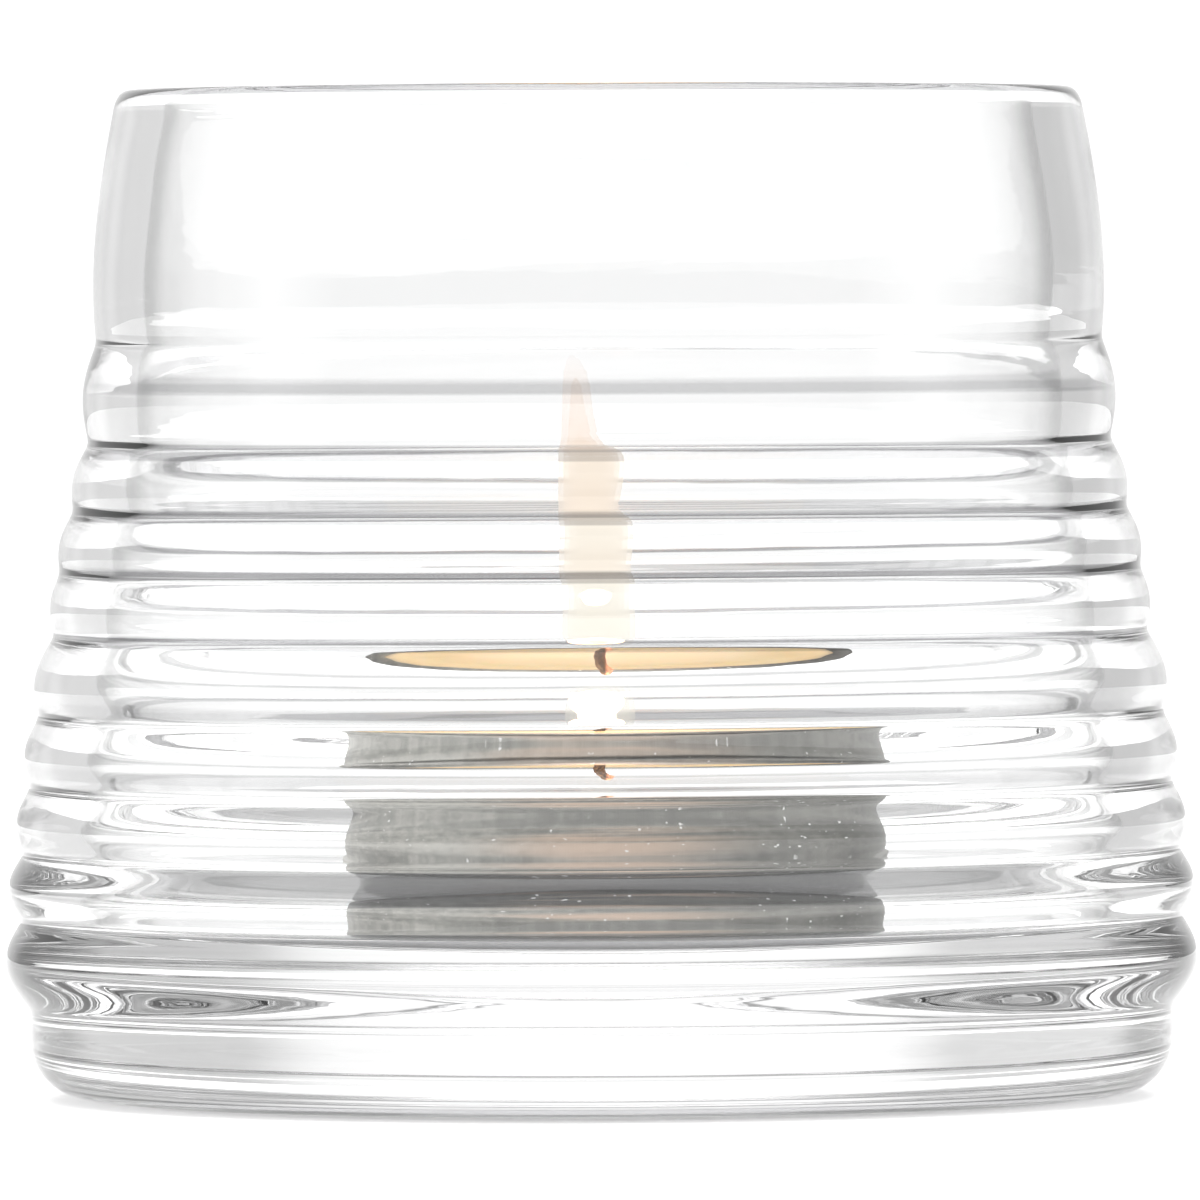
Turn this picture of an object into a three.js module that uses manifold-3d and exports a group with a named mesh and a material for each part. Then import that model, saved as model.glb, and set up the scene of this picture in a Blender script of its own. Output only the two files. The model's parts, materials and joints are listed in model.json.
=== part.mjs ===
// Tealight holder: a heavy tumbler of clear blown glass, with nine rounded ribs round its sloping wall,
// a plain band above them, a plain foot below them and a thick solid base. A tealight stands on its floor:
// a drawn aluminium cup, the wax in it, a wick, and the pressed metal foot that holds the wick upright.
// Millimetres, +Z up. The origin is the centre of the underside, on the glass's own axis.
import * as THREE from "three";
import { mergeVertices } from "three/addons/utils/BufferGeometryUtils.js";
import Module from "manifold-3d";

// How finely the round pieces are cut.
const HOLDER_SIDES = 64;
const TEALIGHT_SIDES = 48;
const SMALL_SIDES = 20;
const WICK_SIDES = 8;
const ARC_STEPS = 5; // straight steps in each quarter-round corner
const RIB_STEPS = 4; // straight steps up the outside of each rib
const ECHO_STEPS = 2; // straight steps up the inside of the wall behind each rib
const BAND_STEPS = 5; // straight steps up the plain band

// The glass holder.
const HOLDER_HEIGHT = 70.8;
const FOOT_RADIUS = 40.25; // the plain foot under the lowest rib
const FOOT_HEIGHT = 6.2; // up to the lowest rib
const FOOT_CORNER = 4.0; // the rounded edge that it stands inside
const RIM_RADIUS = 33.85; // outside of the mouth
const RIM_OUTER_ROUND = 0.7;
const RIM_INNER_ROUND = 1.0;
const BASE_THICKNESS = 9.5; // solid glass under the tealight
const FLOOR_CORNER = 5.5; // the hollow curve from the floor to the wall
const WALL_AT_RIM = 3.5;
const WALL_AT_FLOOR = 4.0;
const BAND_SWELL = 0.68; // how far the plain band stands out from a straight cone
const BAND_LEAN = 0.8; // under 1, the band is fullest in its lower half

// The ribs are worked by hand, so they are uneven. From the lowest to the highest: how tall each one is, how
// far the groove above it lies inside the foot, how far it swells out past a straight line between grooves,
// and what share of the swell shows on the inside, where the glass is thinner and follows the ribs more.
const RIBS = [
  { height: 6.3, inset: -0.55, swell: 1.45, echo: 0 },
  { height: 4.6, inset: -0.45, swell: 1.0, echo: 0 },
  { height: 4.7, inset: 0.05, swell: 0.73, echo: 0.1 },
  { height: 5.0, inset: 0.65, swell: 0.7, echo: 0.15 },
  { height: 5.8, inset: 1.8, swell: 0.8, echo: 0.2 },
  { height: 4.4, inset: 2.2, swell: 0.5, echo: 0.85 },
  { height: 4.3, inset: 3.15, swell: 0.5, echo: 0.85 },
  { height: 4.8, inset: 4.27, swell: 0.55, echo: 0.85 },
  { height: 7.1, inset: 4.87, swell: 0.69, echo: 0.85 },
];

// The tealight, which stands a little off the glass's axis.
const TEALIGHT_X = 1.0;
const CUP_RADIUS = 18.9; // outside, at the foot of the wall
const CUP_FLARE = 0.2; // how much wider the wall is at the top, so that the cup draws off its punch
const CUP_HEIGHT = 13.85;
const CUP_WALL = 0.25;
const CUP_CORNER = 1.0; // outside edge of the cup's foot
const CUP_BEAD = 0.35; // how far the rolled rim stands out from the wall
const CUP_PANEL_RADIUS = 14.5; // the stiffening panel pressed up in the cup's floor
const CUP_PANEL_RISE = 0.4;
const WAX_BELOW_RIM = 0.4;
const WAX_EDGE_ROUND = 0.4;
const WICK_X = -1.0; // from the cup's centre
const WICK_RADIUS = 0.45;
const WICK_STANDS_OUT = 3.4; // above the wax
const WICK_CURL = 1.0; // how far the tip leans over
const TAB_RADIUS = 6.0; // the wick's metal foot
const TAB_THICKNESS = 0.3;
const NECK_WALL = 0.3;
const NECK_HEIGHT = 3.2; // of the tube that grips the wick

// Clearances.
const SEAT_GAP = 0.05; // under a piece that stands on another
const WAX_GAP = 0.15; // between the wax and what it lies against
const WICK_GAP = 0.1; // round the wick

const glass = new THREE.MeshStandardMaterial({
  color: 0xf4f7f7,
  roughness: 0.03,
  metalness: 0,
  transparent: true,
  opacity: 0.35,
});
const aluminium = new THREE.MeshStandardMaterial({ color: 0x9d9e9a, roughness: 0.35, metalness: 1 });
const paraffin = new THREE.MeshStandardMaterial({ color: 0xeed9a6, roughness: 0.4, metalness: 0 });
const cotton = new THREE.MeshStandardMaterial({ color: 0x4a423c, roughness: 0.95, metalness: 0 });
const tinplate = new THREE.MeshStandardMaterial({ color: 0xb9bbbb, roughness: 0.3, metalness: 1 });

const wasm = await Module();
wasm.setup();

const mix = (a, b, share) => a + (b - a) * share;

// Points on a circle's arc round (x, z), from one angle to another in quarter turns, both ends included.
function arc(x, z, radius, fromQuarter, toQuarter) {
  return Array.from({ length: ARC_STEPS + 1 }, (_, i) => {
    const angle = (mix(fromQuarter, toQuarter, i / ARC_STEPS) * Math.PI) / 2;
    return [x + radius * Math.cos(angle), z + radius * Math.sin(angle)];
  });
}

// A profile of [radius, height] points turned about the Z axis. It runs up the outside first.
function turned(profile, sides) {
  const points = profile.map(([radius, height]) => new THREE.Vector2(radius, height));
  return new THREE.LatheGeometry(points, sides).rotateX(Math.PI / 2);
}

function piece(name, geometry, material) {
  const mesh = new THREE.Mesh(geometry, material);
  mesh.name = name;
  return mesh;
}

// three.js geometry as a manifold-3d solid, and back.
function solidOf(geometry) {
  const bare = new THREE.BufferGeometry();
  const flat = geometry.index ? geometry.toNonIndexed() : geometry;
  bare.setAttribute("position", flat.getAttribute("position"));
  const merged = mergeVertices(bare, 1e-4);
  const triVerts = new Uint32Array(merged.index.array);
  const vertProperties = merged.attributes.position.array;
  return new wasm.Manifold(new wasm.Mesh({ numProp: 3, vertProperties, triVerts }));
}

function geometryOf(solid) {
  const mesh = solid.getMesh();
  const geometry = new THREE.BufferGeometry();
  geometry.setAttribute("position", new THREE.BufferAttribute(mesh.vertProperties, 3));
  geometry.setIndex(new THREE.BufferAttribute(mesh.triVerts, 1));
  return geometry;
}

// The glass holder. ribFoot is the height of each rib's lower groove, and of the top one's upper groove.
const ribFoot = RIBS.reduce((heights, rib) => [...heights, heights.at(-1) + rib.height], [FOOT_HEIGHT]);
const grooveRadius = [FOOT_RADIUS, ...RIBS.map((rib) => FOOT_RADIUS - rib.inset)];
const bandFoot = ribFoot.at(-1);

// The outside of rib number i, a share t of the way up it, with that share of its swell.
function ribRadius(i, t, swellShare) {
  return mix(grooveRadius[i], grooveRadius[i + 1], t) + RIBS[i].swell * swellShare * Math.sin(Math.PI * t);
}

// The outside of the plain band, a share t of the way from the top rib to the rim.
function bandRadius(t) {
  const cone = mix(grooveRadius.at(-1), RIM_RADIUS, t);
  return cone + BAND_SWELL * Math.sin(Math.PI * t ** BAND_LEAN);
}

function wallAt(height) {
  return mix(WALL_AT_FLOOR, WALL_AT_RIM, (height - BASE_THICKNESS) / (HOLDER_HEIGHT - BASE_THICKNESS));
}

function holderOutside() {
  const profile = arc(FOOT_RADIUS - FOOT_CORNER, FOOT_CORNER, FOOT_CORNER, -1, 0);
  RIBS.forEach((rib, i) => {
    for (let step = 0; step < RIB_STEPS; step++) {
      const t = step / RIB_STEPS;
      profile.push([ribRadius(i, t, 1), ribFoot[i] + t * rib.height]);
    }
  });
  const bandTop = HOLDER_HEIGHT - RIM_OUTER_ROUND;
  for (let step = 0; step < BAND_STEPS; step++) {
    const height = mix(bandFoot, bandTop, step / BAND_STEPS);
    profile.push([bandRadius((height - bandFoot) / (HOLDER_HEIGHT - bandFoot)), height]);
  }
  return [...profile, ...arc(RIM_RADIUS - RIM_OUTER_ROUND, bandTop, RIM_OUTER_ROUND, 0, 1)];
}

// The inside of the wall at each height from the floor's corner to the rim's, from the top down.
function holderInside() {
  const lowest = BASE_THICKNESS + FLOOR_CORNER;
  const wall = [];
  RIBS.forEach((rib, i) => {
    for (let step = 0; step < ECHO_STEPS; step++) {
      const t = step / ECHO_STEPS;
      wall.push([ribRadius(i, t, rib.echo), ribFoot[i] + t * rib.height]);
    }
  });
  const bandTop = HOLDER_HEIGHT - RIM_INNER_ROUND;
  for (let step = 0; step < BAND_STEPS; step++) {
    const height = mix(bandFoot, bandTop, step / BAND_STEPS);
    wall.push([bandRadius((height - bandFoot) / (HOLDER_HEIGHT - bandFoot)), height]);
  }
  const above = wall.filter(([, height]) => height > lowest + 1);
  const inside = above.map(([radius, height]) => [radius - wallAt(height), height]).reverse();
  const mouth = RIM_RADIUS - WALL_AT_RIM;
  const wallFoot = inside.at(-1)[0];
  const rim = arc(mouth + RIM_INNER_ROUND, bandTop, RIM_INNER_ROUND, 1, 2);
  const floor = arc(wallFoot - FLOOR_CORNER, lowest, FLOOR_CORNER, 0, -1);
  return [...rim, ...inside, ...floor];
}

function glassHolder() {
  const profile = [[0, 0], ...holderOutside(), ...holderInside(), [0, BASE_THICKNESS]];
  return piece("glass_holder", turned(profile, HOLDER_SIDES), glass);
}

// The tealight's pieces are made about the cup's own axis, with the underside of the cup at height 0.
const cupTopRadius = CUP_RADIUS + CUP_FLARE;
const cupFloor = CUP_WALL; // height of the floor's upper side, outside the pressed panel
const waxTop = CUP_HEIGHT - WAX_BELOW_RIM;
const tabFoot = cupFloor + CUP_PANEL_RISE + SEAT_GAP;
const neckBore = WICK_RADIUS + WICK_GAP;
const neckRadius = neckBore + NECK_WALL;
const neckTop = tabFoot + TAB_THICKNESS + NECK_HEIGHT;

function tealightCup() {
  const corner = CUP_CORNER;
  const outer = arc(CUP_RADIUS - corner, corner, corner, -1, 0);
  const bead = CUP_BEAD;
  const beadHeight = CUP_HEIGHT - bead;
  const rolledRim = arc(cupTopRadius, beadHeight, bead, -1, 1);
  const inner = [
    [cupTopRadius - CUP_WALL, CUP_HEIGHT - CUP_WALL],
    ...arc(CUP_RADIUS - corner, corner, corner - CUP_WALL, 0, -1),
  ];
  const panelUnder = [
    [0, CUP_PANEL_RISE],
    [CUP_PANEL_RADIUS - CUP_PANEL_RISE, CUP_PANEL_RISE],
    [CUP_PANEL_RADIUS, 0],
  ];
  const panelOver = panelUnder.map(([radius, height]) => [radius, height + cupFloor]).reverse();
  const profile = [...panelUnder, ...outer, ...rolledRim, ...inner, ...panelOver];
  return piece("tealight_cup", turned(profile, TEALIGHT_SIDES), aluminium);
}

// The wax fills the cup from its floor to just under its rim, with room for the wick and its metal foot.
function waxBlock() {
  const corner = CUP_CORNER;
  const foot = cupFloor + CUP_PANEL_RISE + WAX_GAP;
  const footRadius = CUP_RADIUS - corner;
  const topRadius = mix(CUP_RADIUS, cupTopRadius, waxTop / CUP_HEIGHT) - CUP_WALL - WAX_GAP;
  const edge = WAX_EDGE_ROUND;
  const profile = [
    [0, foot],
    [footRadius, foot],
    [CUP_RADIUS - CUP_WALL - WAX_GAP, corner + foot],
    ...arc(topRadius - edge, waxTop - edge, edge, 0, 1),
    [0, waxTop],
  ];
  const room = [
    [0, foot - 1],
    [TAB_RADIUS + WAX_GAP, foot - 1],
    [TAB_RADIUS + WAX_GAP, tabFoot + TAB_THICKNESS + WAX_GAP],
    [neckRadius + WAX_GAP, tabFoot + TAB_THICKNESS + WAX_GAP],
    [neckRadius + WAX_GAP, neckTop + WAX_GAP],
    [neckBore, neckTop + WAX_GAP],
    [neckBore, waxTop + 1],
    [0, waxTop + 1],
  ];
  const cut = turned(room, SMALL_SIDES).translate(WICK_X, 0, 0);
  const solid = solidOf(turned(profile, TEALIGHT_SIDES)).subtract(solidOf(cut));
  return piece("wax_block", geometryOf(solid), paraffin);
}

function wick() {
  const line = new THREE.CatmullRomCurve3([
    new THREE.Vector3(0, 0, tabFoot),
    new THREE.Vector3(0, 0, neckTop),
    new THREE.Vector3(0, 0, waxTop - WICK_RADIUS),
    new THREE.Vector3(0, 0, waxTop + WICK_RADIUS),
    new THREE.Vector3(-0.25 * WICK_CURL, 0, waxTop + 0.45 * WICK_STANDS_OUT),
    new THREE.Vector3(0.1 * WICK_CURL, 0, waxTop + 0.75 * WICK_STANDS_OUT),
    new THREE.Vector3(WICK_CURL, 0, waxTop + WICK_STANDS_OUT - WICK_RADIUS),
  ]);
  const section = new THREE.Shape();
  for (let side = 0; side < WICK_SIDES; side++) {
    const angle = (2 * Math.PI * side) / WICK_SIDES;
    const [x, y] = [WICK_RADIUS * Math.cos(angle), WICK_RADIUS * Math.sin(angle)];
    if (side === 0) section.moveTo(x, y);
    else section.lineTo(x, y);
  }
  const geometry = new THREE.ExtrudeGeometry(section, { steps: 24, extrudePath: line });
  return piece("wick", geometry, cotton);
}

// A round tab with a tube standing in its middle, crimped round the wick.
function wickFoot() {
  const profile = [
    [neckBore, tabFoot],
    [TAB_RADIUS, tabFoot],
    [TAB_RADIUS, tabFoot + TAB_THICKNESS],
    [neckRadius, tabFoot + TAB_THICKNESS],
    [neckRadius, neckTop],
    [neckBore, neckTop],
    [neckBore, tabFoot],
  ];
  return piece("wick_foot", turned(profile, SMALL_SIDES), tinplate);
}

const wickPieces = new THREE.Group();
wickPieces.add(wick(), wickFoot());
wickPieces.position.x = WICK_X;

const tealight = new THREE.Group();
tealight.add(tealightCup(), waxBlock(), wickPieces);
tealight.position.set(TEALIGHT_X, 0, BASE_THICKNESS + SEAT_GAP);

const tealightHolder = new THREE.Group();
tealightHolder.add(glassHolder(), tealight);

export default tealightHolder;
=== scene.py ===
import json
import math

import bpy
import numpy as np
from mathutils import Matrix, Vector

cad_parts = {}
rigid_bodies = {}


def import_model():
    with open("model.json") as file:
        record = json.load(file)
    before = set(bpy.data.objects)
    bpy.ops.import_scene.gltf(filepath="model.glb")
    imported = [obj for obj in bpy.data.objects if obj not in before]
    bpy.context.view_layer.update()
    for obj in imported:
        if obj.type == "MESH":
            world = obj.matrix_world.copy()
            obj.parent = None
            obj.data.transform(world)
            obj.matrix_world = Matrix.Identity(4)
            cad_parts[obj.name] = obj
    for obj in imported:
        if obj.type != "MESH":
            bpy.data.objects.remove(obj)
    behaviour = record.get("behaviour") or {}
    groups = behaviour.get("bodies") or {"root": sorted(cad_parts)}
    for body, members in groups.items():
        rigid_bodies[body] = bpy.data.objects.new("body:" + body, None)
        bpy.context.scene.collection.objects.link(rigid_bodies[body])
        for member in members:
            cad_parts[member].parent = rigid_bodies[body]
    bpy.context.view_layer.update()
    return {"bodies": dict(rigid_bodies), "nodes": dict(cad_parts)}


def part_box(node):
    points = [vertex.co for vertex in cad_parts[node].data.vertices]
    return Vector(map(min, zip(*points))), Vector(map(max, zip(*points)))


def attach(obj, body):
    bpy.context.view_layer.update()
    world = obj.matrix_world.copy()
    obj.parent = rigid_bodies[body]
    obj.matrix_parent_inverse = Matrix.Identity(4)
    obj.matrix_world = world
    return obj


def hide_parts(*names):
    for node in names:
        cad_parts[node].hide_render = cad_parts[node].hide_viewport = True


# The tealight holder as it looks: the ribbed glass, the tealight that stands in it, and its flame.
# Lengths in the tables below are millimetres, as in the CAD source; meshes are in metres.
MM = 0.001

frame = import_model()
glass_low, glass_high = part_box("glass_holder")
cup_low, cup_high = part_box("tealight_cup")
wax_low, wax_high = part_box("wax_block")
wick_low, wick_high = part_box("wick")

# The glass holder's sizes.
GLASS_SIDES = 256
OUTSIDE_STEP = 0.34
INSIDE_STEP = 0.5
HOLDER_HEIGHT = (glass_high.z - glass_low.z) / MM
FOOT_RADIUS = 40.25
FOOT_HEIGHT = 6.2
FOOT_CORNER = 4.0
RIM_RADIUS = 33.85
RIM_OUTER_ROUND = 0.7
RIM_INNER_ROUND = 1.0
BASE_THICKNESS = 9.5
FLOOR_CORNER = 5.5
WALL_AT_RIM = 3.5
WALL_AT_FLOOR = 4.0
BAND_SWELL = 0.68
BAND_LEAN = 0.8
# From the lowest rib to the highest: its height, how far the groove above it lies inside the foot, its swell,
# and the share of the swell that shows on the inside.
RIBS = np.array([
    [6.3, -0.55, 1.45, 0.0],
    [4.6, -0.45, 1.0, 0.0],
    [4.7, 0.05, 0.73, 0.1],
    [5.0, 0.65, 0.7, 0.15],
    [5.8, 1.8, 0.8, 0.2],
    [4.4, 2.2, 0.5, 0.85],
    [4.3, 3.15, 0.5, 0.85],
    [4.8, 4.27, 0.55, 0.85],
    [7.1, 4.87, 0.69, 0.85],
])
GROOVE_ROUND = 0.28
OUTLINE_STEP = 0.05
MOUTH_BLEND = 12
# Grey bands of painted shade on the glass, for the dark lines that its ribs bend into view: the height of
# each, and how dark it is.
# The last two are at the rim and at the foot's edge.
PAINTED_SHADE_LINES = [
    (49.9, 0.5), (45.35, 0.8), (41.0, 0.85), (37.05, 0.85), (32.35, 0.8),
    (27.6, 0.4), (23.1, 0.3), (8.9, 0.3), (70.7, 1.0), (0.4, 1.0),
]
SHADE_LINE_HALF = 0.52

# The tealight's sizes.
CUP_SIDES = 192
CUP_FLARE = 0.2
CUP_WALL = 0.25
CUP_CORNER = 1.0
CUP_BEAD = 0.35
CUP_PANEL_RADIUS = 14.5
CUP_PANEL_RISE = 0.4
CUP_RADIUS = (cup_high.y - cup_low.y) / MM / 2 - CUP_BEAD - CUP_FLARE
CUP_HEIGHT = (cup_high.z - cup_low.z) / MM
CUP_X = (cup_high.x + cup_low.x) / 2 / MM
CUP_Z = cup_low.z / MM
WAX_GAP = 0.15
WAX_TOP = wax_high.z / MM - CUP_Z
FLAME_ABOVE_WAX = 0.9
FLAME_HEIGHT = 26.5
FLAME_RADIUS = 2.6
FLAME_SKINS = (1.0, 0.86, 0.72, 0.57, 0.4)
LIGHT_ABOVE_WAX = 8

# The camera: level with the upper half of the glass, and a good arm's length away.
CAMERA_DISTANCE = 1.187
CAMERA_HEIGHT = 0.056
LOOK_AT_HEIGHT = 0.0348
VIEW_WIDTH = 0.08448
CAMERA_ROLL = math.radians(0.26)

# The floor: a hair under the glass, with painted shade inside the ring where the glass stands on it.
FLOOR_SIDES = 96
FLOOR_DROP = 0.0002
SHADE_INNER = 0.032
SHADE_OUTER = 0.0375


# --- Shapes -------------------------------------------------------------------------------------------------

def smooth_step(low, high, x):
    """0 below low, 1 above high, and 3t^2 - 2t^3 between, where t is the share of the way."""
    t = np.clip((x - low) / (high - low), 0, 1)
    return t * t * (3 - 2 * t)


def arc(x, z, radius, from_quarter, to_quarter, steps=16):
    """Points on a circle round (x, z), from one angle to another in quarter turns."""
    angle = np.linspace(from_quarter, to_quarter, steps) * np.pi / 2
    return np.column_stack([x + radius * np.cos(angle), z + radius * np.sin(angle)])


def length_along(line):
    """How far along the line each of its points is."""
    return np.concatenate([[0], np.cumsum(np.hypot(*np.diff(line, axis=0).T))])


def resampled(line, step):
    """The same line with its points about one step apart along its length."""
    length = length_along(line)
    at = np.linspace(0, length[-1], int(round(length[-1] / step)) + 1)
    return np.column_stack([np.interp(at, length, column) for column in line.T])


def rounded(line, step, radius):
    """The line resampled, then each point averaged with its neighbours by a bell curve; its ends stay put."""
    points = resampled(line, step)
    reach = int(math.ceil(3 * radius / step))
    bell = np.exp(-0.5 * (np.arange(-reach, reach + 1) * step / radius) ** 2)
    padded = np.concatenate([
        2 * points[0] - points[reach:0:-1],
        points,
        2 * points[-1] - points[-2:-reach - 2:-1],
    ])
    smooth = [np.convolve(column, bell / bell.sum(), "valid") for column in padded.T]
    return np.column_stack(smooth)


def piece(name, points, material, body, poles=(None, None)):
    """A piece whose skin is a grid: points[row, column] in metres, each row closing on itself.

    Rows run so that (along the row) x (to the next row) points out of the material. A pole is the one
    point that the first or the last row shrinks to, and it closes the skin there.
    """
    rows, columns, _ = points.shape
    index = np.arange(rows * columns).reshape(rows, columns)
    beside = np.roll(index, -1, axis=1)
    quads = np.stack([index[:-1], beside[:-1], beside[1:], index[1:]], -1).reshape(-1, 4)
    across = (np.arange(columns)[None, :] + np.array([0, 1, 1, 0])[:, None]) / columns
    along = np.array([0, 0, 1, 1])[None, :] + np.arange(rows - 1)[:, None]
    uv = np.empty((rows - 1, columns, 4, 2))
    uv[..., 0] = across.T[None]
    uv[..., 1] = along[:, None, :] / max(rows - 1, 1)
    coordinates, faces, uvs = [points.reshape(-1, 3)], quads.tolist(), [uv.reshape(-1, 2)]
    for end, pole in enumerate(poles):
        if pole is None:
            continue
        apex = np.full(columns, rows * columns + len(coordinates) - 1)
        ring, next_ring = index[0 if end == 0 else -1], beside[0 if end == 0 else -1]
        fan = [apex, next_ring, ring] if end == 0 else [ring, next_ring, apex]
        faces += np.stack(fan, -1).tolist()
        coordinates.append(np.array(pole, float)[None])
        order = [0, 1, 0] if end == 0 else [0, 1, 1]
        fan_uv = np.stack([across[order[k]] for k in range(3)], -1)
        uvs.append(np.stack([fan_uv, np.full(fan_uv.shape, float(end))], -1).reshape(-1, 2))
    mesh = bpy.data.meshes.new(name)
    mesh.from_pydata(np.concatenate(coordinates), [], faces)
    mesh.uv_layers.new(name="around").data.foreach_set("uv", np.concatenate(uvs).astype(np.float32).ravel())
    mesh.polygons.foreach_set("use_smooth", np.ones(len(mesh.polygons), bool))
    mesh.materials.append(material)
    mesh.update()
    shown = bpy.data.objects.new(name, mesh)
    bpy.context.scene.collection.objects.link(shown)
    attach(shown, body)
    return shown


def around(sides):
    """Angles once round, in radians, without the last that would meet the first."""
    return np.arange(sides) * 2 * np.pi / sides


def turned(profile, sides, x=0.0, z=0.0):
    """Grid of a profile of [radius, height] in mm turned about the upright axis at x, in metres."""
    angle = around(sides)
    radius, height = profile[:, :1], profile[:, 1:]
    grid = [x + radius * np.cos(angle), radius * np.sin(angle), z + height + 0 * angle]
    return np.stack(grid, -1) * MM


# The glass.

rib_foot = FOOT_HEIGHT + np.concatenate([[0], np.cumsum(RIBS[:, 0])])
groove_radius = FOOT_RADIUS - np.concatenate([[0], RIBS[:, 1]])


def wall_outside(height, echo=False):
    """Radius of the ribs and the plain band: a straight line from groove to groove, plus half a sine wave.

    With echo, the wave has only the share of its swell that shows on the inside.
    """
    number = np.clip(np.searchsorted(rib_foot, height, side="right") - 1, 0, len(RIBS) - 1)
    t = (height - rib_foot[number]) / RIBS[number, 0]
    ribs = groove_radius[number] * (1 - t) + groove_radius[number + 1] * t
    swell = RIBS[number, 2] * (RIBS[number, 3] if echo else 1)
    ribs = ribs + swell * np.sin(np.pi * np.clip(t, 0, 1))
    up = np.clip((height - rib_foot[-1]) / (HOLDER_HEIGHT - rib_foot[-1]), 0, 1)
    band = groove_radius[-1] * (1 - up) + RIM_RADIUS * up + BAND_SWELL * np.sin(np.pi * up ** BAND_LEAN)
    return np.where(height < rib_foot[-1], ribs, band)


def wall_thickness(height):
    """Thickness of the glass wall, which thins evenly from the floor to the rim."""
    up = (height - BASE_THICKNESS) / (HOLDER_HEIGHT - BASE_THICKNESS)
    return WALL_AT_FLOOR + (WALL_AT_RIM - WALL_AT_FLOOR) * up


def glass_outline():
    """The outside from the underside's edge up to the rim's crest, and the inside from there to the floor."""
    outer_top = HOLDER_HEIGHT - RIM_OUTER_ROUND
    up = np.arange(FOOT_HEIGHT, outer_top, OUTLINE_STEP)
    outside = np.concatenate([
        arc(FOOT_RADIUS - FOOT_CORNER, FOOT_CORNER, FOOT_CORNER, -1, 0),
        np.column_stack([wall_outside(up), up]),
        arc(RIM_RADIUS - RIM_OUTER_ROUND, outer_top, RIM_OUTER_ROUND, 0, 1),
    ])
    inner_top = HOLDER_HEIGHT - RIM_INNER_ROUND
    lowest = BASE_THICKNESS + FLOOR_CORNER
    down = np.arange(inner_top, lowest, -OUTLINE_STEP)
    inner = wall_outside(down, echo=True) - wall_thickness(down)
    mouth = RIM_RADIUS - WALL_AT_RIM
    inner += (mouth - inner[0]) * smooth_step(MOUTH_BLEND, 0, inner_top - down)
    inside = np.concatenate([
        arc(mouth + RIM_INNER_ROUND, inner_top, RIM_INNER_ROUND, 1, 2),
        np.column_stack([inner, down]),
        arc(inner[-1] - FLOOR_CORNER, lowest, FLOOR_CORNER, 0, -1),
    ])
    return outside, inside


def hand_worked(profile, inside):
    """The glass as worked by hand: its skin wanders by slow waves, as sums of sines in angle and height.

    The ribs rise and fall a little on their way round, and the inside, which no tool touched, wanders most.
    """
    angle = around(GLASS_SIDES)
    radius, height = profile[:, :1], profile[:, 1:]
    rise = 0.08 * np.cos(angle - 0.3) + 0.05 * np.sin(2 * angle + height / 9)
    wander = 0.03 * np.sin(2 * angle + height / 11 + 1)
    if inside:
        wander = wander + 0.02 * np.sin(angle + height / 2.3) + 0.012 * np.sin(2 * angle - height / 1.5 + 2)
        above_foot = smooth_step(0.5, 7, height - BASE_THICKNESS)
    else:
        above_foot = smooth_step(0.3, 6, height)
    free = above_foot * smooth_step(0.2, 5, HOLDER_HEIGHT - height)
    radius = radius + free * wander
    height = height + free * rise
    return np.stack([radius * np.cos(angle), radius * np.sin(angle), height], -1) * MM


def glass_points():
    outside, inside = glass_outline()
    outside = rounded(outside, OUTSIDE_STEP, GROOVE_ROUND)
    inside = rounded(inside, INSIDE_STEP, 2 * GROOVE_ROUND)
    under = np.column_stack([np.linspace(2, outside[0, 0] - 1, 12), np.zeros(12)])
    floor = np.column_stack([np.linspace(inside[-1, 0] - 1, 2, 14), np.full(14, BASE_THICKNESS)])
    return np.concatenate([
        turned(under, GLASS_SIDES),
        hand_worked(outside, False),
        hand_worked(inside[1:], True),
        turned(floor, GLASS_SIDES),
    ])


# The tealight, about the cup's own axis and from its own underside.

def cup_points():
    """The drawn cup as one closed sheet: pressed floor, rounded edge, flared wall and rolled rim."""
    top_radius = CUP_RADIUS + CUP_FLARE
    wall = CUP_WALL
    bead_z = CUP_HEIGHT - CUP_BEAD
    edge = CUP_RADIUS - CUP_CORNER
    outside = np.concatenate([
        [[2.0, CUP_PANEL_RISE], [CUP_PANEL_RADIUS - 0.5, CUP_PANEL_RISE], [CUP_PANEL_RADIUS, 0.0]],
        arc(edge, CUP_CORNER, CUP_CORNER, -1, 0),
        [[top_radius, bead_z - CUP_BEAD]],
        arc(top_radius, bead_z, CUP_BEAD, -1, 1, 12),
    ])
    inside = np.concatenate([
        [[top_radius - wall, CUP_HEIGHT - 2 * wall]],
        arc(edge, CUP_CORNER, CUP_CORNER - wall, 0, -1),
        [[CUP_PANEL_RADIUS, wall]],
        [[CUP_PANEL_RADIUS - 0.5, CUP_PANEL_RISE + wall], [2.0, CUP_PANEL_RISE + wall]],
    ])
    outside = rounded(outside, 0.14, 0.1)
    inside = rounded(inside, 0.3, 0.1)
    return turned(np.concatenate([outside, inside]), CUP_SIDES, CUP_X, CUP_Z)


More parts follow.
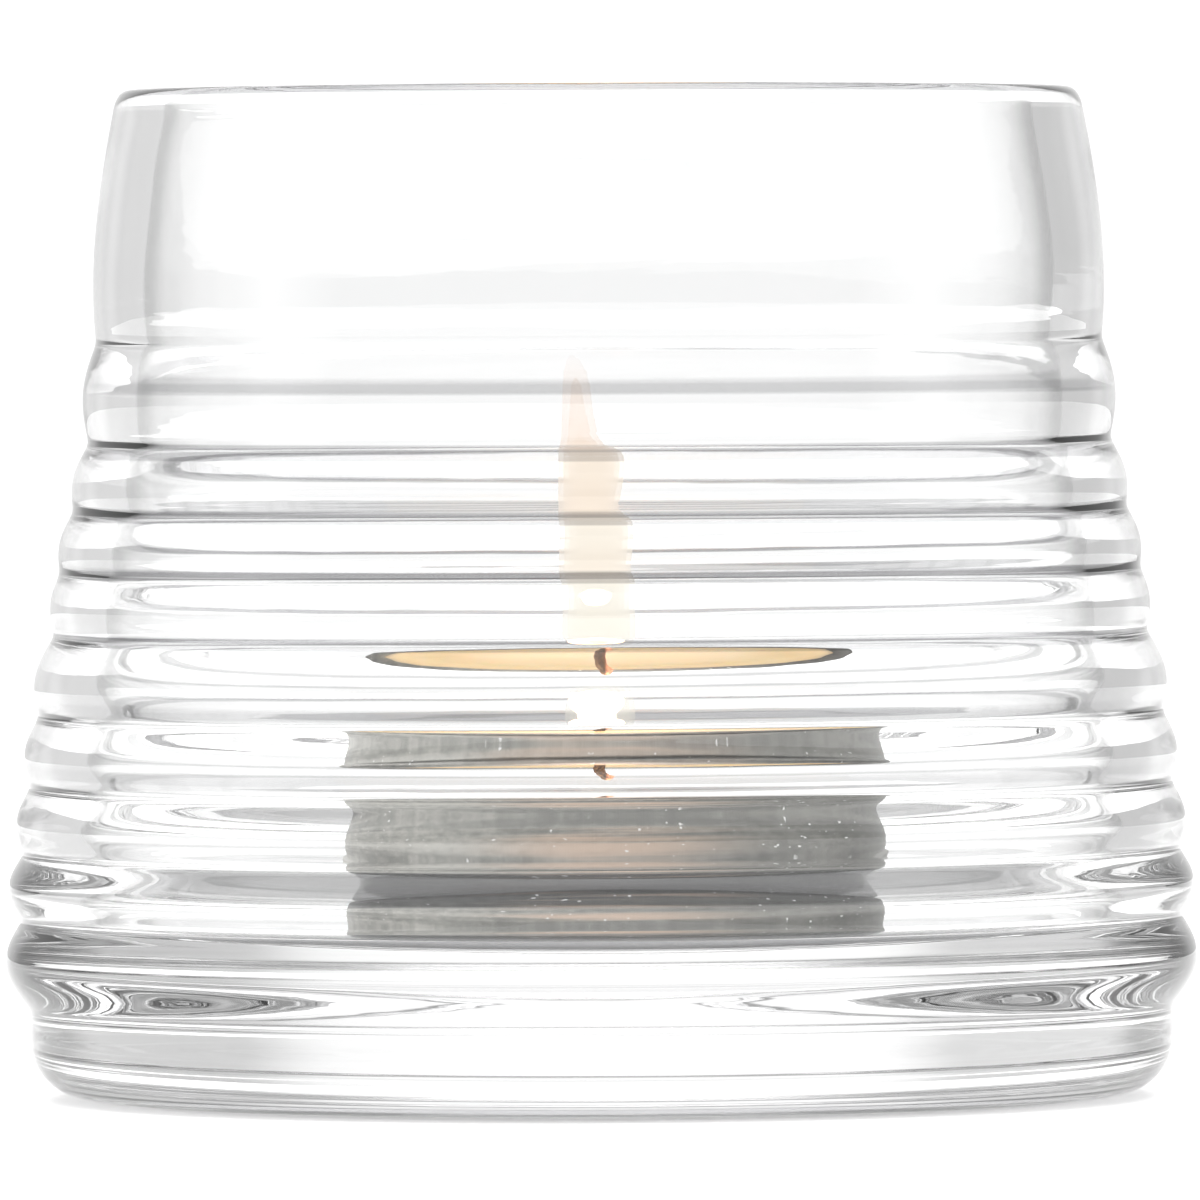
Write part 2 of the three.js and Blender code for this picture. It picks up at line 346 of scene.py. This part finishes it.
def wax_points():
    """The wax: straight sides, a rim of wax that clings to the cup, and a top that dips towards the wick."""
    foot = wax_low.z / MM - CUP_Z
    low_radius = CUP_RADIUS - CUP_WALL - WAX_GAP
    high_radius = CUP_RADIUS + CUP_FLARE - CUP_WALL - WAX_GAP
    radius = np.concatenate([
        np.linspace(high_radius, high_radius - 2, 16),
        np.linspace(high_radius - 2.2, 0.7, 60),
    ])
    cling = 0.55 * np.exp(-(high_radius - radius) / 0.45)
    near_wick = 0.22 * np.exp(-(radius / 1.1) ** 2)
    top = np.column_stack([radius, WAX_TOP - 0.6 + cling + near_wick])
    side = [[2.0, foot], [low_radius - CUP_CORNER, foot], [low_radius, foot + CUP_CORNER]]
    profile = np.concatenate([resampled(np.array(side + [[high_radius, top[0, 1]]]), 0.5), top[1:]])
    return turned(profile, CUP_SIDES, CUP_X, CUP_Z)


def wick_line(steps=90):
    """The wick's middle: upright out of its foot, then leaning one way and curling over to the other."""
    start = wick_low.z / MM
    wax = CUP_Z + WAX_TOP
    tip = wick_high.z / MM
    knots = np.array([
        [0.0, start], [0.0, wax - 3], [0.0, wax - 0.5],
        [-0.12, wax + 0.5], [-0.05, wax + 1.4], [0.25, wax + 2.2], [0.62, tip - 0.55], [0.85, tip - 0.45],
    ])
    length = length_along(knots)
    buried = np.linspace(0, length[2], 20)[:-1]
    at = np.concatenate([buried, np.linspace(length[2], length[-1], steps - len(buried))])
    line = np.column_stack([np.interp(at, length, column) for column in knots.T])
    reach = 9
    bell = np.exp(-0.5 * (np.arange(-reach, reach + 1) / 3.5) ** 2)
    ends = np.concatenate([np.repeat(line[:1], reach, 0), line, np.repeat(line[-1:], reach, 0)])
    return np.column_stack([np.convolve(column, bell / bell.sum(), "valid") for column in ends.T])


def wick_points(sides=40):
    """A braid along the wick's middle: a round section whose skin swells where strands of two hands cross.

    The swell is the greater of two sine waves that wind opposite ways; the tip swells into an ember.
    """
    line = wick_line()
    ahead = np.gradient(line, axis=0)
    ahead /= np.hypot(*ahead.T)[:, None]
    angle = around(sides)[None]
    far = length_along(line)[:, None]
    left = np.sin(2 * angle + far * 4.2)
    right = np.sin(2 * angle - far * 4.2)
    share = far / far[-1]
    girth = 0.36 + 0.10 * smooth_step(0.93, 0.985, share) - 0.26 * smooth_step(0.985, 1.0, share)
    radius = girth + 0.05 * np.maximum(left, right) + 0.03 * np.sin(7 * angle + far * 9)
    side = np.stack([ahead[:, 1], -ahead[:, 0]], -1)
    across = radius * np.cos(angle)
    x = line[:, :1] + side[:, :1] * across
    z = line[:, 1:] + side[:, 1:] * across
    return np.stack([x, radius * np.sin(angle), z], -1) * MM


def flame_points(scale, sides=48, steps=56):
    """One skin of the flame: a teardrop, round in section, that leans to one side as it rises.

    Its radius is the widest radius times t^0.5 (1 - t)^0.6, put on a scale where the fullest part is 1.
    """
    t = (1 - np.cos(np.linspace(0.02, 0.995, steps) * np.pi)) / 2
    full = t ** 0.5 * (1 - t) ** 0.6
    radius = FLAME_RADIUS * scale * full / full.max()
    height = FLAME_HEIGHT * (0.5 + (t - 0.5) * (0.35 + 0.65 * scale))
    lean_at_foot = 0.35
    lean = lean_at_foot - 1.9 * (height / FLAME_HEIGHT) ** 3
    angle = around(sides)
    x = lean[:, None] + radius[:, None] * np.cos(angle) - lean_at_foot
    z = CUP_Z + WAX_TOP + FLAME_ABOVE_WAX + height[:, None] + 0 * angle
    return np.stack([x, radius[:, None] * np.sin(angle), z], -1) * MM


# --- Finishes -----------------------------------------------------------------------------------------------

class Value:
    """A value that a node gives, as part of a finish. Sums and products with it add Math nodes."""

    def __init__(self, finish, socket):
        self.finish = finish
        self.socket = socket

    def math(self, operation, *others, first=None):
        terms = [self, *others] if first is None else [first, self]
        return self.finish.add("Math", {"operation": operation}, dict(enumerate(terms)))

    def __add__(self, other):
        return self.math("ADD", other)

    def __sub__(self, other):
        return self.math("SUBTRACT", other)

    def __mul__(self, other):
        return self.math("MULTIPLY", other)

    def __truediv__(self, other):
        return self.math("DIVIDE", other)

    def __rsub__(self, other):
        return self.math("SUBTRACT", first=other)

    __radd__ = __add__
    __rmul__ = __mul__

    def between(self, low, high):
        """0 on low's side, 1 on high's side, and a smooth step between. Either may be the greater."""
        sockets = {"Value": self, 1: low, 2: high}
        return self.finish.add("MapRange", {"interpolation_type": "SMOOTHSTEP"}, sockets)


class Finish:
    """One material's or the world's node tree, and the one way that nodes are put in it."""

    def __init__(self, owner):
        self.owner = owner
        owner.use_nodes = True
        self.tree = owner.node_tree
        self.tree.nodes.clear()

    def add(self, kind, settings=None, sockets=None, output=0):
        node = self.tree.nodes.new("ShaderNode" + kind)
        for key, value in (settings or {}).items():
            if key == "stops":
                ramp = node.color_ramp.elements
                while len(ramp) < len(value):
                    ramp.new(0.5)
                for stop, (place, colour) in zip(ramp, value):
                    stop.position, stop.color = place, (*colour, 1)
            else:
                setattr(node, key, value)
        for key, value in (sockets or {}).items():
            if isinstance(value, Value):
                self.tree.links.new(value.socket, node.inputs[key])
            else:
                node.inputs[key].default_value = value
        return Value(self, node.outputs[output]) if node.outputs else None

    def place(self):
        return self.add("TexCoord", output="Object")

    def round_and_up(self):
        """The piece's own map: once round in U, and along its rows in V."""
        return self.add("UVMap", {"uv_map": "around"})

    def part(self, vector, axis):
        """The vector's part along one axis: 0, 1 or 2 for X, Y or Z."""
        return self.add("SeparateXYZ", None, {0: vector}, output=axis)

    def stretched(self, vector, x=1.0, y=1.0, z=1.0):
        return self.add("Mapping", None, {"Vector": vector, "Scale": (x, y, z)})

    def noise(self, vector, scale, detail, roughness=0.5):
        sockets = {"Vector": vector, "Scale": scale, "Detail": detail, "Roughness": roughness}
        return self.add("TexNoise", None, sockets)

    def blend(self, share, low, high):
        """A colour between two colours."""
        pair = [(*c, 1) if isinstance(c, tuple) else c for c in (low, high)]
        return self.add("Mix", {"data_type": "RGBA"}, {0: share, 6: pair[0], 7: pair[1]}, output=2)

    def bump(self, height, distance, strength=1.0):
        return self.add("Bump", None, {"Height": height, "Distance": distance, "Strength": strength})

    def surface(self, sockets):
        shader = self.add("BsdfPrincipled", None, sockets)
        self.add("OutputMaterial", None, {"Surface": shader})
        return self.owner


def finish(name):
    return Finish(bpy.data.materials.new(name))


def clear_glass():
    """Clear glass with painted shade where it is seen edge on, and soft grey bands of painted shade by its
    grooves, rim and foot.
    """
    f = finish("clear_blown_glass")
    place = f.place()
    height = f.part(place, 2)
    # Painted shade: grey bands at the listed heights, darkest at each band's middle.
    painted_lines = 0.0
    for line_height, depth in PAINTED_SHADE_LINES:
        above = height.between((line_height + SHADE_LINE_HALF) * MM, (line_height + 0.4 * SHADE_LINE_HALF) * MM)
        below = height.between((line_height - SHADE_LINE_HALF) * MM, (line_height - 0.7 * SHADE_LINE_HALF) * MM)
        painted_lines = above * below * depth + painted_lines
    # Painted shade: the glass is tinted grey where it is seen edge on, for the dark outline that its bent
    # light shows.
    facing = f.add("LayerWeight", None, {"Blend": 0.5}, output=1)
    edge = facing.between(0.54, 0.95)
    layers = f.noise(f.stretched(place, 30, 30, 260), 1.0, 2.0)
    smear = f.noise(place, 60, 4.0, 0.6).between(0.6, 0.8)
    ripple = f.noise(f.stretched(place, 60, 60, 700), 1.0, 2.0)
    clear = f.blend(layers, (0.985, 0.988, 0.988), (1.0, 1.0, 1.0))
    with_shade_lines = f.blend(painted_lines, clear, (0.30, 0.30, 0.31))
    return f.surface({
        "Base Color": f.blend(edge, with_shade_lines, (0.22, 0.22, 0.22)),
        "Roughness": smear * 0.02,
        "Transmission Weight": 1.0,
        "IOR": 1.5,
        "Normal": f.bump(ripple, 0.00002, 0.35),
    })


def cup_metal():
    """Thin drawn aluminium: grey, streaked and finely pitted, with upright draw lines and a few rubs.

    It has painted shade round its foot and towards +X, and a painted warm reflection of the flame's light up
    its middle.
    """
    f = finish("drawn_cup_aluminium")
    place = f.place()
    mottle = f.noise(place, 900, 4.0, 0.65)
    cloud = f.noise(place, 130, 3.0, 0.5)
    lines = f.noise(f.stretched(f.round_and_up(), 900, 14), 1.0, 2.0)
    specks = f.noise(place, 1700, 1.0).between(0.70, 0.78)
    dents = f.noise(place, 210, 1.0)
    # Painted reflection: the horizontal streaks in the tone stand in for banded reflections on the round
    # side.
    streaks = f.noise(f.stretched(place, 25, 25, 800), 1.0, 3.0)
    tone = (mottle * 0.35 + cloud * 0.15 + streaks * 0.5).between(0.34, 0.66)
    height = f.part(place, 2)
    # Painted shade: the cup is much darker below about 4 mm above its underside.
    foot_shade = height.between((CUP_Z + 3.2) * MM, (CUP_Z + 4.2) * MM)
    shade = f.blend(tone, (0.27, 0.27, 0.25), (0.62, 0.61, 0.57))
    shade = f.blend(foot_shade, f.blend(tone, (0.08, 0.08, 0.08), (0.20, 0.20, 0.195)), shade)
    side = f.part(place, 0)
    # Painted shade: the cup is darker towards +X, as if the light falls from -X.
    shade = f.blend(side.between(-0.013, 0.012) * 0.55, shade, (0.09, 0.09, 0.085))
    # Painted reflection: a warm glow of the flame's light up the cup's middle, on its front and back.
    middle = side.between(-0.011, -0.001) * side.between(0.013, 0.001)
    flame_reflection = middle * streaks.between(0.42, 0.62) * 0.55
    shade = f.blend(flame_reflection, shade, (0.86, 0.62, 0.46))
    return f.surface({
        "Base Color": f.blend(specks * 0.8, shade, (0.95, 0.95, 0.94)),
        "Metallic": 1.0,
        "Roughness": 0.26 + mottle * 0.22 + lines * 0.08,
        "Normal": f.bump(mottle * 0.4 + lines * 0.4 + dents * 3.0, 0.00004, 0.6),
    })


def warm_wax():
    """Paraffin wax, honey coloured and half clear where it has melted, with a wet top round the wick."""
    f = finish("melted_candle_wax")
    place = f.place()
    height = f.part(place, 2)
    cloud = f.noise(place, 220, 3.0, 0.5)
    wet = height.between((CUP_Z + WAX_TOP - 1.2) * MM, (CUP_Z + WAX_TOP - 0.7) * MM)
    honey = f.blend(cloud, (0.98, 0.66, 0.33), (1.0, 0.80, 0.50))
    return f.surface({
        "Base Color": f.blend(wet, (0.90, 0.80, 0.60), honey),
        "Roughness": 0.42 - wet * 0.2 + cloud * 0.06,
        "IOR": 1.43,
        "Subsurface Weight": 0.35,
        "Subsurface Radius": (0.004, 0.0022, 0.0009),
        "Subsurface Scale": 1.0,
        "Normal": f.bump(f.noise(place, 90, 1.0), 0.00012, 0.5),
    })


def charred_cotton():
    """The wick: pale waxed cotton in the wax, burnt brown and black above it, and an ember at its tip."""
    f = finish("charred_wick")
    place = f.place()
    height = f.part(place, 2)
    burnt = height.between((CUP_Z + WAX_TOP - 0.8) * MM, (CUP_Z + WAX_TOP + 0.1) * MM)
    ember = f.part(place, 0).between(0.00028, 0.00062)
    grain = f.noise(place, 5200, 3.0, 0.6)
    char = f.blend(grain, (0.025, 0.02, 0.018), (0.16, 0.12, 0.10))
    stem = f.blend(burnt, (0.82, 0.76, 0.62), char)
    return f.surface({
        "Base Color": f.blend(ember, stem, (0.55, 0.30, 0.22)),
        "Roughness": 0.75 + grain * 0.2,
        "Emission Color": f.blend(ember, (0.0, 0.0, 0.0), (0.75, 0.34, 0.22)),
        "Emission Strength": 0.6,
        "Normal": f.bump(grain, 0.00005, 0.8),
    })


def flame_glow():
    """The flame's thin skins of glowing gas: clear at the foot, pale yellow above it and peach at the tip."""
    f = finish("candle_flame")
    height = f.part(f.place(), 2)
    foot = (CUP_Z + WAX_TOP + FLAME_ABOVE_WAX) * MM
    up = (height - foot) / (FLAME_HEIGHT * MM)
    stops = [
        (0.0, (1.0, 0.97, 0.92)),
        (0.35, (1.0, 0.95, 0.84)),
        (0.75, (0.98, 0.84, 0.70)),
        (1.0, (0.95, 0.76, 0.64)),
    ]
    colour = f.add("ValToRGB", {"stops": stops}, {"Fac": up})
    body = up.between(0.05, 0.45) * up.between(1.02, 0.86)
    return f.surface({
        "Base Color": (0.0, 0.0, 0.0, 1.0),
        "Roughness": 1.0,
        "Specular IOR Level": 0.0,
        "Emission Color": colour,
        "Emission Strength": 1.0,
        "Alpha": 0.02 + body * 0.34,
    })


def wick_foot_metal():
    """Tinned steel, with a fine rolled grain."""
    f = finish("tinned_wick_foot")
    place = f.place()
    grain = f.noise(f.stretched(place, 300, 4000, 300), 1.0, 2.0)
    return f.surface({
        "Base Color": f.blend(grain, (0.60, 0.61, 0.62), (0.78, 0.79, 0.80)),
        "Metallic": 1.0,
        "Roughness": 0.24 + grain * 0.18,
        "Normal": f.bump(grain, 0.00002, 0.5),
    })


# --- The pieces ---------------------------------------------------------------------------------------------

def glass_piece():
    low, high = Vector((0, 0, 0)), Vector((0, 0, BASE_THICKNESS * MM))
    made = piece("ribbed_glass", glass_points(), clear_glass(), "holder", (low, high))
    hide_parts("glass_holder")


def cup_piece():
    under = Vector((CUP_X, 0, CUP_Z + CUP_PANEL_RISE)) * MM
    over = Vector((CUP_X, 0, CUP_Z + CUP_PANEL_RISE + CUP_WALL)) * MM
    made = piece("drawn_cup", cup_points(), cup_metal(), "tealight", (under, over))
    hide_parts("tealight_cup")


def wax_piece():
    foot = Vector((CUP_X, 0, wax_low.z / MM)) * MM
    points = wax_points()
    top = Vector((CUP_X, 0, 0)) * MM
    top.z = points[-1, 0, 2]
    made = piece("melting_wax", points, warm_wax(), "candle", (foot, top))
    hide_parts("wax_block")


def wick_piece():
    points = wick_points()
    ends = (points[0].mean(0), points[-1].mean(0))
    made = piece("burning_wick", points, charred_cotton(), "candle", ends)
    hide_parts("wick")


def flame_piece():
    """Five skins, one inside another, so that the flame thins out towards its edge."""
    glow = flame_glow()
    for number, scale in enumerate(FLAME_SKINS):
        points = flame_points(scale)
        ends = (points[0].mean(0), points[-1].mean(0))
        piece(f"flame_skin_{number}", points, glow, "candle", ends)


glass_piece()
cup_piece()
wax_piece()
wick_piece()
flame_piece()

# The wick's foot is shown as it comes from the CAD, in its own metal.
wick_foot = frame["nodes"]["wick_foot"].data
wick_foot.materials.clear()
wick_foot.materials.append(wick_foot_metal())


# --- The room -----------------------------------------------------------------------------------------------

def floor():
    """A wide pale disc, just under the glass, with painted shade beneath it."""
    angle = around(FLOOR_SIDES)
    radius = np.array([0.02, 0.3, 1.2])[:, None]
    points = np.stack([radius * np.cos(angle), radius * np.sin(angle), 0 * radius * angle - FLOOR_DROP], -1)
    index = np.arange(points.shape[0] * FLOOR_SIDES).reshape(-1, FLOOR_SIDES)
    beside = np.roll(index, -1, axis=1)
    quads = np.stack([index[:-1], index[1:], beside[1:], beside[:-1]], -1).reshape(-1, 4)
    mesh = bpy.data.meshes.new("floor")
    mesh.from_pydata(points.reshape(-1, 3), [], quads.tolist() + [index[0].tolist()])
    f = finish("pale_floor")
    grain = f.noise(f.place(), 400, 2.0)
    from_axis = f.add("VectorMath", {"operation": "LENGTH"}, {0: f.place()}, output=1)
    # Painted shade: a darker colour and a weaker glow inside the ring under the glass.
    clear_of_glass = from_axis.between(SHADE_INNER, SHADE_OUTER)
    pale = f.blend(grain, (0.90, 0.90, 0.90), (0.93, 0.93, 0.93))
    mesh.materials.append(f.surface({
        "Base Color": f.blend(clear_of_glass, (0.7, 0.7, 0.7), pale),
        "Roughness": 0.9,
        "Specular IOR Level": 0.2,
        "Emission Color": f.blend(clear_of_glass, (0.5, 0.5, 0.5), (1.0, 1.0, 1.0)),
        "Emission Strength": 0.52,
    }))
    shown = bpy.data.objects.new("floor", mesh)
    bpy.context.scene.collection.objects.link(shown)


def studio():
    """White walls lit behind the glass and, in narrower strips, to its sides, under a wide overhead light.

    The rest of the room is dim, and the wall behind is a little dimmer to the right.
    What the camera sees past the glass is plain white.
    """
    world = bpy.data.worlds.new("studio")
    bpy.context.scene.world = world
    f = Finish(world)
    way = f.add("TexCoord", output="Generated")
    across = f.part(way, 0)
    ahead = f.part(way, 1)
    up = f.part(way, 2)
    level = (1.0 - up * up).math("SQRT") + 0.001
    facing = ahead / level
    behind = facing.between(0.88, 0.95) * 0.33 + facing.between(0.45, 0.64) * 0.42
    beside = (across / level).math("ABSOLUTE").between(0.955, 0.985) * 0.6
    right = across.between(0.15, 0.6)
    low = up.between(0.62, 0.42)
    overhead = up.between(0.80, 0.92)
    over_camera = up.between(0.06, 0.24) * ahead.between(0.1, -0.2) * 0.6
    light = 0.30 + (behind * (1.0 - right * 0.3) + beside) * low + over_camera + overhead * 2.0
    seen = f.add("LightPath", output="Is Camera Ray")
    strength = light * (1.0 - seen) + seen * 1.2
    shade = f.add("Background", None, {"Color": (1.0, 1.0, 1.0, 1.0), "Strength": strength})
    f.add("OutputWorld", None, {"Surface": shade})


def candle_light():
    """The warm light that the flame casts."""
    lamp = bpy.data.lights.new("flame_light", "POINT")
    lamp.energy = 0.012
    lamp.color = (1.0, 0.62, 0.30)
    lamp.shadow_soft_size = 0.002
    shown = bpy.data.objects.new("flame_light", lamp)
    shown.location = Vector((-0.3, 0, CUP_Z + WAX_TOP + LIGHT_ABOVE_WAX)) * MM
    shown.parent = frame["bodies"]["candle"]
    bpy.context.scene.collection.objects.link(shown)


def camera():
    lens = bpy.data.cameras.new("camera")
    lens.sensor_width = 36.0
    lens.lens = lens.sensor_width * CAMERA_DISTANCE / VIEW_WIDTH
    lens.clip_start, lens.clip_end = 0.01, 100
    shown = bpy.data.objects.new("camera", lens)
    bpy.context.scene.collection.objects.link(shown)
    place = Vector((0, -CAMERA_DISTANCE, CAMERA_HEIGHT))
    facing = (Vector((0, 0, LOOK_AT_HEIGHT)) - place).to_track_quat("-Z", "Y").to_matrix()
    turned_by = facing @ Matrix.Rotation(-CAMERA_ROLL, 3, "Z")
    shown.matrix_world = Matrix.Translation(place) @ turned_by.to_4x4()
    bpy.context.scene.camera = shown


floor()
studio()
candle_light()
camera()

scene = bpy.context.scene
scene.view_settings.view_transform = "Standard"
scene.cycles.max_bounces = 32
scene.cycles.transmission_bounces = 32
scene.cycles.transparent_max_bounces = 48
scene.cycles.glossy_bounces = 8
scene.cycles.diffuse_bounces = 4
scene.cycles.sample_clamp_indirect = 4.0
